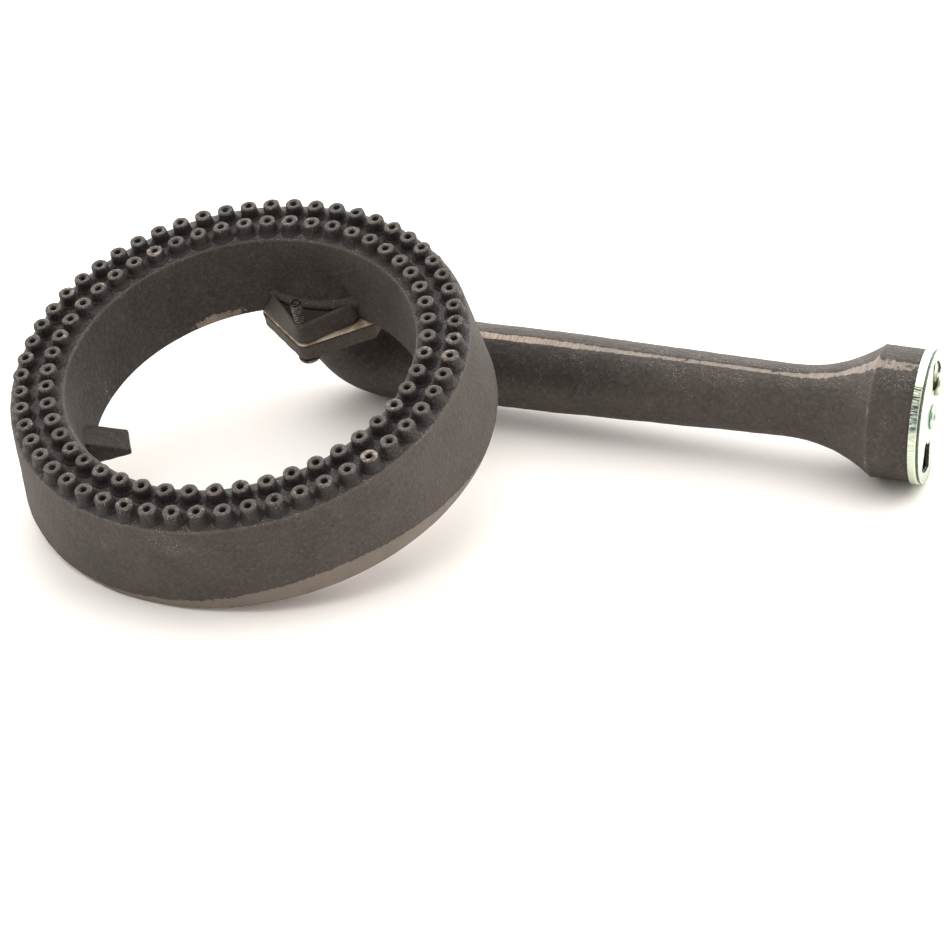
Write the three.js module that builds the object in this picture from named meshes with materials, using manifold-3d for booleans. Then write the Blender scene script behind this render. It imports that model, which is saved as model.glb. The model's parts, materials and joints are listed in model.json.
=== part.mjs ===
// A cast-iron gas burner ring on its flanged mixing tube, with an adjustable air shutter.
//
// All lengths are millimetres. The pieces are laid out in the frame of the ring: its centre
// on the bottom face is the origin, +Z is the axis of the ring, the mixing tube runs along +X
// and +Y points from the centre to the flange. One group then tips the whole assembly over,
// the way it lies on a table: on the ring's edge, the elbow's heel and the rim of the cap.

import * as THREE from 'three';
import { mergeVertices } from 'three/addons/utils/BufferGeometryUtils.js';
import Module from 'manifold-3d';

const wasm = await Module();
wasm.setup();

const { PI } = Math;
const degree = PI / 180;

// Clearances
const seatGap = 0.3; // between two pieces that seat on each other
const cutOverrun = 2; // how far a cutting solid runs past the face it opens

// Ring casting
const ringFootRadius = 127;
const ringShoulderRadius = 120.5;
const ringHeight = 49;
const ringTopWidth = 29.2; // of the top face, which carries both rows of ports
const boreDraft = 2.05; // how much wider the bore is at its top
const ringEdgeRound = 1.2;
const ringWall = 5;
const ringSides = 84;
const channelSides = 42;

// Burner ports, each drilled through a round boss
const portPitch = 12.7;
const portRadius = 1.55;
const outerRowInset = 7.45;
const innerRowInset = 7.9;
const bossHeight = 6.7;
const bossFaceRadius = 4.15;
const bossFootRadius = 4.7;
const bossSides = 8;
const portSides = 6;

// Locating lugs on the bore wall, one on each hand of the ear
const lugSpread = 121 * degree;
const lugOffset = 2.8; // from the ring's centre line to the lug's near side
const lugWidth = 16.3;
const lugReach = 20.45; // from the bore wall to the lug's tip
const lugTipHeight = 3.2;
const lugWallHeight = 16.7;

// Ear of the ring, with the inlet boss that rises from it into the wall
const earHeight = 13;
const earHalfWidth = 24;
const earTipRadius = 4.4;
const earCornerRadius = 4;
const inletRadius = 17.5;
const inletBossReach = 28;
const inletBossHalfWidth = 38;
const inletBossTopReach = 18;
const inletBossHeight = 29;
const inletSides = 28;

// Flange of the tube and its gasket
const flangeThickness = 9.4;
const flangeHalfWidth = 32;
const flangeTipRadius = 6;
const flangeCornerRadius = 5;
const flangeShoulder = 18;
const gasketThickness = 1;
const gasketInset = 0.8;

// Flange screws, 1/4 inch
const screwOffset = 41.5;
const screwRadius = 3.1;
const screwHoleRadius = 3.7;
const innerScrewLength = 38;
const outerScrewLength = 26; // stops short of the far rim's line of sight
const screwHeadRadius = 6.3;
const screwHeadHeight = 4.4;
const screwRimShare = 0.3; // upright part of the head's height, under its dome
const screwSlotWidth = 1.6;
const screwSlotDepth = 1.9;
const screwTipChamfer = 0.8;
const screwSides = 16;
const screwDomeSteps = 5;

// Mixing tube
const tubeDrop = 45.5;
const tubeWall = 4.5;
const bendRadius = 31;
const elbowRadius = 23.6;
const heelRise = 2.5;
const heelShare = 1.6; // length of the thickened heel, as a share of the bend
const tubeRadius = 22.5;
const elbowLength = 47; // from the end of the bend to where the tube is round and even
const evenLength = 47;
const taperLength = 129;
const throatRadius = 19.5;
const throatLength = 4;
const flareLength = 46.6;
const flareCurveShare = 2.1; // power of the share of its length that the flare has run
const neckRadius = 35;
const neckLength = 24.9;
const tubeSides = 28;
const bendSteps = 9;
const elbowSteps = 3;
const flareSteps = 8;

// Zinc-plated cap staked on the neck
const capSheet = 0.9;
const capSkirt = 3.2;
const capBend = 0.8;
const capSides = 40;
const windowInnerRadius = 14.3;
const windowOuterRadius = 29.6;
const windowArcSteps = 10;
const capWindowStart = 45 * degree;
const capWindowSpan = 29 * degree;
const threadCollarWall = 1.6;
const threadCollarDepth = 2.4;

// Air shutter, a disc that turns on the eyelet in front of the cap
const shutterSheet = 0.9;
const shutterInset = 0.5;
const shutterWindowStart = 17 * degree;
const shutterWindowSpan = 56 * degree;

// Eyelet through both discs, open for the gas jet
const eyeletRadius = 5.3;
const eyeletBore = 4.3;
const eyeletRimRadius = 6.6;
const eyeletRimHeight = 1.7;
const eyeletSides = 20;

// Lock screw, in the upper window of the shutter
const lockAngle = 28 * degree;
const lockOffset = 18.2;
const lockLength = 9;

// How finely round corners of an outline are cut, and how often the table plane is turned
const cornerSteps = 5;
const tableTurns = 40;

// Finishes
const iron = { color: 0x3b3431, roughness: 0.72, metalness: 0.35 };
const zinc = { color: 0xd5d8d2, roughness: 0.28, metalness: 0.9 };
const blackSteel = { color: 0x2b2725, roughness: 0.45, metalness: 0.7 };
const yellowZinc = { color: 0xc9bd9a, roughness: 0.3, metalness: 0.9 };
const gasketBoard = { color: 0xd8ccb2, roughness: 0.9, metalness: 0 };

// From a closed geometry to a solid that can be joined and cut
function solid(geometry) {
  const shell = geometry.clone();
  for (const name of Object.keys(shell.attributes)) {
    if (name !== 'position') shell.deleteAttribute(name);
  }
  const merged = mergeVertices(shell);
  const corners = merged.index.array;
  const kept = [];
  for (let i = 0; i < corners.length; i += 3) {
    const [a, b, c] = corners.subarray(i, i + 3);
    if (a !== b && b !== c && c !== a) kept.push(a, b, c);
  }
  return new wasm.Manifold(new wasm.Mesh({
    numProp: 3,
    vertProperties: new Float32Array(merged.attributes.position.array),
    triVerts: new Uint32Array(kept),
  }));
}

// One solid from several geometries
function joined(geometries) {
  return wasm.Manifold.union(geometries.map(solid));
}

// The finished solid as a named mesh
function piece(name, body, finish) {
  const { vertProperties, triVerts } = body.getMesh();
  const geometry = new THREE.BufferGeometry();
  geometry.setAttribute('position', new THREE.BufferAttribute(vertProperties, 3));
  geometry.setIndex(new THREE.BufferAttribute(triVerts, 1));
  geometry.computeVertexNormals();
  const mesh = new THREE.Mesh(geometry, new THREE.MeshStandardMaterial(finish));
  mesh.name = name;
  return mesh;
}

// A profile of [radius, height] points turned about Z, counterclockwise where it is closed
function turned(profile, sides) {
  const points = profile.map(([radius, height]) => new THREE.Vector2(radius, height));
  return new THREE.LatheGeometry(points, sides).rotateX(PI / 2);
}

// A closed profile: the last point joins the first
function turnedRing(profile, sides) {
  return turned([...profile, profile[0]], sides);
}

// A round bar along Z from one height to another
function bar(radius, bottom, top, sides) {
  return turned([[0, bottom], [radius, bottom], [radius, top], [0, top]], sides);
}

// A flat outline raised from one height to another
function raised(shape, bottom, top, curveSegments = cornerSteps) {
  const settings = { depth: top - bottom, bevelEnabled: false, curveSegments };
  return new THREE.ExtrudeGeometry(shape, settings).translate(0, 0, bottom);
}

// The outline that runs round a counterclockwise list of circles, tangent to each
function tangentOutline(circles) {
  const leaving = circles.map((circle, i) => {
    const next = circles[(i + 1) % circles.length];
    const dx = next.x - circle.x;
    const dy = next.y - circle.y;
    return Math.atan2(dy, dx) - Math.acos((circle.r - next.r) / Math.hypot(dx, dy));
  });
  const shape = new THREE.Shape();
  circles.forEach((circle, i) => {
    const arriving = leaving[(i + circles.length - 1) % circles.length];
    shape.absarc(circle.x, circle.y, circle.r, arriving, leaving[i], false);
  });
  return shape;
}

// The six-cornered outline shared by ear, gasket and flange: two round tips at the screws
function flangeOutline(tip, halfWidth, corner, shoulder) {
  const side = halfWidth - corner;
  return tangentOutline([
    { x: 0, y: -screwOffset, r: tip },
    { x: side, y: -shoulder, r: corner },
    { x: side, y: shoulder, r: corner },
    { x: 0, y: screwOffset, r: tip },
    { x: -side, y: shoulder, r: corner },
    { x: -side, y: -shoulder, r: corner },
  ]);
}

// Places of the two flange screws, measured from the centre of the flange
const screwPlaces = [-screwOffset, screwOffset];

function screwHoles(radius, bottom, top) {
  return screwPlaces.map((y) => bar(radius, bottom, top, screwSides).translate(0, y, 0));
}

// Bore of the ring, which opens upwards
const boreTopRadius = ringShoulderRadius - ringTopWidth;
const boreFootRadius = boreTopRadius - boreDraft;

// Mid radius of the bottom face: the flange and the tube are centred under it
const flangeDistance = (ringFootRadius + boreFootRadius) / 2;

// Burner ring: one hollow casting, open only at the ports and the inlet
function burnerRing() {
  const edge = ringEdgeRound;
  const lean = (ringFootRadius - ringShoulderRadius) / ringHeight;
  const boreLean = (boreTopRadius - boreFootRadius) / ringHeight;
  const shell = turnedRing([
    [boreFootRadius + edge, 0],
    [ringFootRadius - edge, 0],
    [ringFootRadius - lean * edge, edge],
    [ringShoulderRadius + lean * edge, ringHeight - edge],
    [ringShoulderRadius - edge, ringHeight],
    [boreTopRadius + edge, ringHeight],
    [boreTopRadius - boreLean * edge, ringHeight - edge],
    [boreFootRadius + boreLean * edge, edge],
  ], ringSides);
  const channel = turnedRing([
    [boreFootRadius + ringWall, ringWall],
    [ringFootRadius - ringWall, ringWall],
    [ringShoulderRadius - ringWall, ringHeight - ringWall],
    [boreTopRadius + ringWall, ringHeight - ringWall],
  ], channelSides);

  const bosses = [];
  const ports = [];
  const faceHeight = ringHeight + bossHeight;
  const slope = (bossFootRadius - bossFaceRadius) / bossHeight;
  for (const rowRadius of [ringShoulderRadius - outerRowInset, boreTopRadius + innerRowInset]) {
    const count = Math.round(2 * PI * rowRadius / portPitch);
    for (let i = 0; i < count; i += 1) {
      const angle = i * 2 * PI / count;
      const place = [rowRadius * Math.cos(angle), rowRadius * Math.sin(angle), 0];
      const boss = turned([
        [0, ringHeight - cutOverrun],
        [bossFootRadius + slope * cutOverrun, ringHeight - cutOverrun],
        [bossFaceRadius, faceHeight],
        [0, faceHeight],
      ], bossSides);
      const depth = ringHeight - ringWall - cutOverrun;
      const port = bar(portRadius, depth, faceHeight + cutOverrun, portSides);
      bosses.push(boss.rotateZ(angle).translate(...place));
      ports.push(port.rotateZ(angle).translate(...place));
    }
  }

  const flangeCentre = [0, flangeDistance, 0];
  const ear = raised(flangeOutline(earTipRadius, earHalfWidth, earCornerRadius,
    flangeShoulder + flangeCornerRadius), 0, earHeight).translate(...flangeCentre);
  const inletBoss = turned([
    [0, 0],
    [inletBossReach, 0],
    [inletBossReach, earHeight],
    [inletBossTopReach, inletBossHeight],
    [0, inletBossHeight],
  ], inletSides).scale(inletBossHalfWidth / inletBossReach, 1, 1).translate(...flangeCentre);

  const lugs = [1, -1].map((hand) => {
    const root = boreFootRadius + ringWall / 2;
    const tip = boreFootRadius - lugReach;
    const side = new THREE.Shape([
      new THREE.Vector2(tip, 0),
      new THREE.Vector2(root, 0),
      new THREE.Vector2(root, lugWallHeight),
      new THREE.Vector2(boreFootRadius, lugWallHeight),
      new THREE.Vector2(tip, lugTipHeight),
    ]);
    const reach = lugOffset + lugWidth;
    const from = hand > 0 ? lugOffset : -reach;
    return raised(side, from, from + lugWidth).rotateX(PI / 2).rotateZ(PI / 2 + hand * lugSpread);
  });

  const outside = joined([shell, ear, inletBoss, ...lugs, ...bosses]);
  const inletTop = inletBossHeight - ringWall;
  const inlet = bar(inletRadius, -cutOverrun, inletTop, inletSides).translate(...flangeCentre);
  const threads = screwHoles(screwRadius + seatGap, -cutOverrun, earHeight + cutOverrun)
    .map((hole) => hole.translate(...flangeCentre));
  return outside.subtract(joined([channel, inlet, ...threads, ...ports]));
}

// Heights along the flange joint, going down from the ear
const gasketTop = -seatGap;
const gasketBottom = gasketTop - gasketThickness;
const flangeTop = gasketBottom - seatGap;
const flangeBottom = flangeTop - flangeThickness;

// Gasket between ear and flange
function flangeGasket() {
  const outline = flangeOutline(flangeTipRadius - gasketInset, flangeHalfWidth - gasketInset,
    flangeCornerRadius - gasketInset, flangeShoulder);
  const board = solid(raised(outline, gasketBottom, gasketTop));
  const bore = bar(inletRadius, gasketBottom - cutOverrun, gasketTop + cutOverrun, inletSides);
  const holes = screwHoles(screwHoleRadius, gasketBottom - cutOverrun, gasketTop + cutOverrun);
  return board.subtract(joined([bore, ...holes]));
}

// Stations along the tube, from the flange's centre line to the mouth
const tubeStart = bendRadius + elbowLength;
const taperStart = tubeStart + evenLength;
const throatStart = taperStart + taperLength;
const flareStart = throatStart + throatLength;
const neckStart = flareStart + flareLength;
const neckEnd = neckStart + neckLength;

// Outer radius of the tube at a distance x from the flange's centre line
function tubeRadiusAt(x) {
  const { clamp, lerp } = THREE.MathUtils;
  if (x >= flareStart) {
    const along = clamp((x - flareStart) / (neckStart - flareStart), 0, 1);
    return lerp(throatRadius, neckRadius, along ** flareCurveShare);
  }
  if (x >= taperStart) {
    const along = clamp((x - taperStart) / (throatStart - taperStart), 0, 1);
    return lerp(tubeRadius, throatRadius, along);
  }
  const along = clamp((x - bendRadius) / (tubeStart - bendRadius), 0, 1);
  return lerp(elbowRadius, tubeRadius, along);
}

// Sections of the tube: down from the flange, round the bend and along to the neck's end
function tubeSections(flangeEnd, mouthEnd) {
  const sections = [{ x: 0, z: flangeEnd, turn: 0, radius: elbowRadius, rise: 0 }];
  const arcLength = bendRadius * PI / 2;
  const heelLength = heelShare * arcLength;
  const heel = (s) => (s < heelLength ? heelRise * Math.sin(PI * s / heelLength) ** 2 : 0);
  for (let i = 0; i <= bendSteps; i += 1) {
    const turn = i / bendSteps * PI / 2;
    sections.push({
      x: bendRadius * (1 - Math.cos(turn)),
      z: -tubeDrop + bendRadius * (1 - Math.sin(turn)),
      turn,
      radius: elbowRadius,
      rise: heel(bendRadius * turn),
    });
  }
  const heelEnd = bendRadius + heelLength - arcLength;
  const stations = [];
  for (let i = 1; i <= elbowSteps; i += 1) {
    stations.push(THREE.MathUtils.lerp(bendRadius, heelEnd, i / elbowSteps));
  }
  stations.push(tubeStart, taperStart, (taperStart + throatStart) / 2, throatStart);
  for (let i = 0; i <= flareSteps; i += 1) {
    stations.push(THREE.MathUtils.lerp(flareStart, neckStart, i / flareSteps));
  }
  for (const x of [...stations, mouthEnd]) {
    sections.push({
      x,
      z: -tubeDrop,
      turn: PI / 2,
      radius: tubeRadiusAt(x),
      rise: heel(arcLength + x - bendRadius),
    });
  }
  return sections;
}

// A solid through round sections: each is a ring of points square to its own direction,
// grown by half its rise and shifted outwards by the same, away from the bend's centre
function throughSections(sections, inset) {
  const positions = [];
  const triangles = [];
  const ringPoint = (section, k) => {
    const angle = k / tubeSides * 2 * PI;
    const radius = section.radius - inset + section.rise / 2;
    const out = radius * Math.cos(angle) + section.rise / 2;
    const across = radius * Math.sin(angle);
    return [
      section.x - out * Math.cos(section.turn),
      across,
      section.z - out * Math.sin(section.turn),
    ];
  };
  for (const section of sections) {
    for (let k = 0; k < tubeSides; k += 1) positions.push(...ringPoint(section, k));
  }
  const last = sections.length - 1;
  for (let i = 0; i < last; i += 1) {
    for (let k = 0; k < tubeSides; k += 1) {
      const next = (k + 1) % tubeSides;
      const a = i * tubeSides + k;
      const b = i * tubeSides + next;
      const c = a + tubeSides;
      const d = b + tubeSides;
      triangles.push(a, b, c, b, d, c);
    }
  }
  for (let k = 1; k < tubeSides - 1; k += 1) {
    const end = last * tubeSides;
    triangles.push(0, k + 1, k);
    triangles.push(end, end + k, end + k + 1);
  }
  const geometry = new THREE.BufferGeometry();
  geometry.setAttribute('position', new THREE.Float32BufferAttribute(positions, 3));
  geometry.setIndex(triangles);
  return geometry;
}

// Mixing tube: flange, elbow, tapered tube, bell and straight neck in one cored casting
function mixingTube() {
  const outline = flangeOutline(flangeTipRadius, flangeHalfWidth, flangeCornerRadius,
    flangeShoulder);
  const flange = raised(outline, flangeBottom, flangeTop);
  const holes = screwHoles(screwHoleRadius, flangeBottom - cutOverrun, flangeTop + cutOverrun);
  const outer = throughSections(tubeSections(flangeTop, neckEnd), 0);
  const bore = throughSections(tubeSections(flangeTop + cutOverrun, neckEnd + cutOverrun),
    tubeWall);
  return solid(flange).subtract(joined(holes)).add(solid(outer)).subtract(solid(bore));
}

// A round-head slotted screw: z = 0 under the head, which points up
function slottedScrew(length) {
  const dome = [];
  for (let i = 1; i <= screwDomeSteps; i += 1) {
    const angle = i / screwDomeSteps * PI / 2;
    dome.push([
      i < screwDomeSteps ? screwHeadRadius * Math.cos(angle) : 0,
      screwHeadHeight * (screwRimShare + (1 - screwRimShare) * Math.sin(angle)),
    ]);
  }
  const body = turned([
    [0, -length],
    [screwRadius - screwTipChamfer, -length],
    [screwRadius, -length + screwTipChamfer],
    [screwRadius, 0],
    [screwHeadRadius, 0],
    [screwHeadRadius, screwHeadHeight * screwRimShare],
    ...dome,
  ], screwSides);
  const slot = new THREE.BoxGeometry(
    2 * (screwHeadRadius + cutOverrun),
    screwSlotWidth,
    2 * screwSlotDepth,
  ).translate(0, 0, screwHeadHeight);
  return solid(body).subtract(solid(slot));
}

// One window of a disc: part of a ring between two radii
function windowOpening(start, span) {
  const shape = new THREE.Shape();
  shape.absarc(0, 0, windowOuterRadius, start, start + span, false);
  shape.absarc(0, 0, windowInnerRadius, start + span, start, true);
  return shape;
}

function windows(start, span, bottom, top) {
  return [start, start + PI].map((from) => raised(windowOpening(from, span),
    bottom - cutOverrun, top + cutOverrun, windowArcSteps));
}

// Depths along the mouth, z = 0 at the end of the neck, going outwards
const capBack = seatGap;
const capFront = capBack + capSheet;
const shutterBack = capFront + seatGap;
const shutterFront = shutterBack + shutterSheet;
const capRadius = neckRadius + seatGap + capSheet;
const lockPlace = [lockOffset * Math.cos(lockAngle), lockOffset * Math.sin(lockAngle), 0];

// Cap: a stamped cup over the neck, with two windows, the eyelet hole and a threaded collar
function mixerCap() {
  const inner = capRadius - capSheet;
  const cup = turned([
    [0, capBack],
    [inner, capBack],
    [inner, -capSkirt],
    [capRadius, -capSkirt],
    [capRadius, capFront - capBend],
    [capRadius - capBend, capFront],
    [0, capFront],
  ], capSides);
  const collar = bar(screwRadius + seatGap + threadCollarWall, capBack - threadCollarDepth,
    (capBack + capFront) / 2, screwSides).translate(...lockPlace);
  const bottom = capBack - threadCollarDepth - cutOverrun;
  const thread = bar(screwRadius + seatGap, bottom, capFront + cutOverrun, screwSides)
    .translate(...lockPlace);
  const hub = bar(eyeletRadius + seatGap, bottom, capFront + cutOverrun, eyeletSides);
  const openings = windows(capWindowStart, capWindowSpan, capBack, capFront);
  return joined([cup, collar]).subtract(joined([thread, hub, ...openings]));
}

// Air shutter: the turning disc, with two windows that also clear the lock screw
function airShutter() {
  const disc = bar(capRadius - shutterInset, shutterBack, shutterFront, capSides);
  const hub = bar(eyeletRadius + seatGap, shutterBack - cutOverrun, shutterFront + cutOverrun,
    eyeletSides);
  const openings = windows(shutterWindowStart, shutterWindowSpan, shutterBack, shutterFront);
  return solid(disc).subtract(joined([hub, ...openings]));
}

// Eyelet: a short tube rolled over on both sides, which the shutter turns on
function shutterEyelet() {
  const front = shutterFront + seatGap;
  const back = capBack - seatGap;
  const lip = (eyeletBore + eyeletRadius) / 2;
  return solid(turnedRing([
    [eyeletBore, back - eyeletRimHeight / 2],
    [lip, back - eyeletRimHeight],
    [eyeletRimRadius, back - eyeletRimHeight / 2],
    [eyeletRimRadius, back],
    [eyeletRadius, back],
    [eyeletRadius, front],
    [eyeletRimRadius, front],
    [eyeletRimRadius, front + eyeletRimHeight / 2],
    [lip, front + eyeletRimHeight],
    [eyeletBore, front + eyeletRimHeight / 2],
  ], eyeletSides));
}

// Assembly in the ring's frame
const assembly = new THREE.Group();
assembly.add(piece('burner_ring', burnerRing(), iron));

// Everything that hangs from the flange
const underFlange = new THREE.Group();
underFlange.position.set(0, flangeDistance, 0);
assembly.add(underFlange);
const tube = piece('mixing_tube', mixingTube(), iron);
underFlange.add(piece('flange_gasket', flangeGasket(), gasketBoard), tube);
const screwLengths = [innerScrewLength, outerScrewLength];
['inner_flange_screw', 'outer_flange_screw'].forEach((name, i) => {
  const screw = piece(name, slottedScrew(screwLengths[i]), blackSteel);
  screw.position.set(0, screwPlaces[i], flangeBottom - seatGap);
  screw.rotation.set(PI, 0, 0);
  underFlange.add(screw);
});

// Everything at the mouth: local Z runs out along the tube, local X is the ring's +Y
const mouth = new THREE.Group();
mouth.position.set(neckEnd, 0, -tubeDrop);
mouth.quaternion.setFromRotationMatrix(new THREE.Matrix4().makeBasis(
  new THREE.Vector3(0, 1, 0),
  new THREE.Vector3(0, 0, 1),
  new THREE.Vector3(1, 0, 0),
));
underFlange.add(mouth);
const cap = piece('mixer_cap', mixerCap(), zinc);
mouth.add(cap, piece('air_shutter', airShutter(), zinc));
mouth.add(piece('shutter_eyelet', shutterEyelet(), zinc));
const lockScrew = piece('lock_screw', slottedScrew(lockLength), yellowZinc);
lockScrew.position.set(lockPlace[0], lockPlace[1], shutterFront + seatGap);
mouth.add(lockScrew);

// The corners of a mesh, in the frame of the assembly before it is tipped over
function corners(mesh) {
  mesh.updateWorldMatrix(true, false);
  const positions = mesh.geometry.attributes.position;
  const list = [];
  for (let i = 0; i < positions.count; i += 1) {
    list.push(new THREE.Vector3().fromBufferAttribute(positions, i).applyMatrix4(mesh.matrixWorld));
  }
  return list;
}

// Table plane under the assembly: it touches the ring, the elbow and the cap, each at its
// lowest corner, and is found by turning the plane until it passes through all three
function tableNormal() {
  const elbow = corners(tube).filter((corner) => corner.x < tubeStart);
  const feet = [corners(assembly.children[0]), elbow, corners(cap)];
  let normal = new THREE.Vector3(0, 0, 1);
  for (let turn = 0; turn < tableTurns; turn += 1) {
    const [ringFoot, elbowFoot, capFoot] = feet.map((list) => (
      list.reduce((low, corner) => (corner.dot(normal) < low.dot(normal) ? corner : low))));
    const along = capFoot.clone().sub(ringFoot);
    const aside = elbowFoot.clone().sub(ringFoot);
    normal = along.cross(aside).normalize();
  }
  return normal;
}

// Tip the assembly onto the table, with the tube's direction as +X
const up = tableNormal();
const forward = new THREE.Vector3(1, 0, 0).projectOnPlane(up).normalize();
const left = up.clone().cross(forward);
const tipped = new THREE.Matrix4().makeBasis(forward, left, up).transpose();
assembly.quaternion.setFromRotationMatrix(tipped);
assembly.updateMatrixWorld(true);

// Origin on the table, under the middle of the whole
const bounds = new THREE.Box3().setFromObject(assembly, true);
const middle = bounds.getCenter(new THREE.Vector3());
assembly.position.set(-middle.x, -middle.y, -bounds.min.z);

export default assembly;
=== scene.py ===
"""A cast-iron gas burner ring with its mixing tube and air shutter, lying on a pale table."""
import json
import math

import bpy
import numpy as np
from mathutils import Matrix, Vector


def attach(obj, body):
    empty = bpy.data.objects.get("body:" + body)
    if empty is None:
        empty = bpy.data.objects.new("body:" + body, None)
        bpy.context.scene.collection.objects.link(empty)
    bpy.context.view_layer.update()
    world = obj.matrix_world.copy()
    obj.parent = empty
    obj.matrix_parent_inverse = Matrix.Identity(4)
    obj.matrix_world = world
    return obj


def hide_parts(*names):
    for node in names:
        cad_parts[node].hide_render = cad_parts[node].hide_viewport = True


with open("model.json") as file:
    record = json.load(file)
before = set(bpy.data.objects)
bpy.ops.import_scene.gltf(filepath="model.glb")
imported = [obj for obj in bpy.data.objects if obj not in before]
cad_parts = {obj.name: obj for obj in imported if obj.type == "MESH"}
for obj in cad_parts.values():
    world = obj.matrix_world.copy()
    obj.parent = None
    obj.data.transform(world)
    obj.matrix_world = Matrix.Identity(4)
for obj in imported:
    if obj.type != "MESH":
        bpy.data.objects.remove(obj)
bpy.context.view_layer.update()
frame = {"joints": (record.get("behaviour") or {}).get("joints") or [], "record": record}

# The ring casting: one hollow grey-iron ring, poured in sand. Its foot is machined flat, and the
# two rows of bosses on its top face are drilled through for the gas. Everything else is bolted to
# the ear that grows out of its wall.
foot_radius = 0.127
shoulder_radius = 0.1205
ring_height = 0.049
bore_foot_radius = 0.08925
bore_top_radius = 0.0913
top_edge_round = 0.0022
foot_edge_round = 0.0012
ring_steps = 600
profile_step = 0.0016
ring_waves = (0.034, 0.011, 0.005)
ring_unevenness = 0.00022

# Lengths are metres in the ring's own frame, from the centre of its foot: x along the tube,
# y towards the flange, z up the ring's axis. The shutter's joint and the foot's mount place it.
flange_distance = (foot_radius + bore_foot_radius) / 2
neck_end = 0.3295
tube_drop = 0.0455
mouth_centre = np.array([neck_end, flange_distance, -tube_drop])
shutter_joint = frame["joints"][0]
foot_mount = frame["record"]["mounts"][0]
along_tube = np.array(shutter_joint["axis"], float)
ring_axis = -np.array(foot_mount["axis"], float)
to_flange = np.cross(ring_axis, along_tube)
ring_frame = np.array([along_tube, to_flange, ring_axis])
ring_centre = np.array(shutter_joint["pos_m"]) - mouth_centre @ ring_frame


def placed(points):
    """Points of the ring's own frame where the ring lies: its centre plus x, y and z along its
    three axes."""
    return ring_centre + np.reshape(points, (-1, 3)) @ ring_frame


def full_turn(steps):
    """The angles of evenly spaced steps round a circle, from zero."""
    return np.arange(steps) * 2 * np.pi / steps


def lathe(profile, steps):
    """Rows of a surface of revolution: each (radius, height) of the profile turned round z."""
    turn = full_turn(steps)
    radius, height = np.array(profile, float).T[:, :, None]
    return np.stack([radius * np.cos(turn), radius * np.sin(turn), height + 0 * turn], -1)


def smooth(value, low, high):
    """Rises from 0 at low to 1 at high, level at both ends."""
    share = np.clip((np.asarray(value, float) - low) / (high - low), 0, 1)
    return share * share * (3 - 2 * share)


def near(value, middle, width):
    """A bell curve: 1 at the middle, and almost 0 two widths to either side."""
    return np.exp(-((value - middle) / width) ** 2)


def around(azimuth, middle, reach):
    """1 at the middle azimuth and 0 beyond reach degrees to either side of it."""
    away = np.abs((np.degrees(azimuth) - middle + 180) % 360 - 180)
    return 1 - smooth(away, 0, reach)


def rolling(points, wave, seed):
    """Smooth unevenness, mostly from -1 to 1: 2.5 times the mean of sine waves of one length that
    run in random directions."""
    wave_count = 24
    chance = np.random.default_rng(seed)
    ways = chance.normal(size=(wave_count, 3))
    ways *= 2 * np.pi / wave / np.linalg.norm(ways, axis=1, keepdims=True)
    turns = chance.uniform(0, 2 * np.pi, wave_count)
    return np.sin(points @ ways.T + turns).mean(-1) * 2.5


def cast_unevenness(points, waves, seed):
    """The unevenness that sand leaves: three rolling waves, each shorter and weaker."""
    layers = enumerate(zip((1, 0.5, 0.35), waves))
    return sum(share * rolling(points, wave, seed + i) for i, (share, wave) in layers)


def wrapped(circles, step):
    """The closed line pulled tight round circles (x, y, radius), counterclockwise: their arcs and
    the tangents between them, with a point at least every step, and the outward normal at each."""
    x, y, r = np.array(circles, float).T
    dx, dy, dr = np.roll(x, -1) - x, np.roll(y, -1) - y, r - np.roll(r, -1)
    leaves = np.arctan2(dy, dx) - np.arccos(dr / np.hypot(dx, dy))
    arrives = np.roll(leaves, 1)
    swing = (leaves - arrives) % (2 * np.pi)
    straight = np.sqrt(dx ** 2 + dy ** 2 - dr ** 2)
    angles, owners, shares = [], [], []
    for i in range(len(x)):
        arc = np.linspace(0, 1, max(4, math.ceil(swing[i] * r[i] / step)) + 1)
        line = np.linspace(0, 1, max(1, math.ceil(straight[i] / step)) + 1)[1:-1]
        angles += [arrives[i] + swing[i] * arc, np.full(len(line), leaves[i])]
        owners += [np.full(len(arc) + len(line), i)]
        shares += [np.zeros(len(arc)), line]
    angle, owner, share = (np.concatenate(part) for part in (angles, owners, shares))
    normal = np.stack([np.cos(angle), np.sin(angle)], -1)
    radius = r[owner] - dr[owner] * share
    centre = np.stack([x[owner] + dx[owner] * share, y[owner] + dy[owner] * share], -1)
    return centre + radius[:, None] * normal, normal


def grid_faces(rows, steps, closed=False, start=0):
    """Quads of a grid that is closed round its steps, and round its rows too where closed. An
    open grid gets a flat face over its first and its last row."""
    row_numbers = np.arange(rows if closed else rows - 1)
    row, step = np.meshgrid(row_numbers, np.arange(steps), indexing="ij")
    here, above, beside = row * steps, (row + 1) % rows * steps, (step + 1) % steps
    quads = np.stack([here + step, here + beside, above + beside, above + step], -1)
    faces = (quads.reshape(-1, 4) + start).tolist()
    if not closed:
        end = np.arange(steps) + start
        faces += [end[::-1].tolist(), (end + (rows - 1) * steps).tolist()]
    return faces


def made(name, points, faces, finish, body, slot, *nodes, **marks):
    """A finished piece: a smooth mesh of those points, with each mark as one number a point."""
    mesh = bpy.data.meshes.new(name)
    mesh.from_pydata(placed(points).tolist(), [], faces)
    for mark, values in marks.items():
        layer = mesh.attributes.new(mark, "FLOAT", "POINT")
        point_values = np.broadcast_to(values, np.shape(points)[:-1])
        layer.data.foreach_set("value", point_values.astype(np.float32).ravel())
    mesh.shade_smooth()
    mesh.materials.append(finish)
    piece = bpy.data.objects.new(name, mesh)
    bpy.context.scene.collection.objects.link(piece)
    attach(piece, body)
    if nodes:
        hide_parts(*nodes)
    return piece


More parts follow.
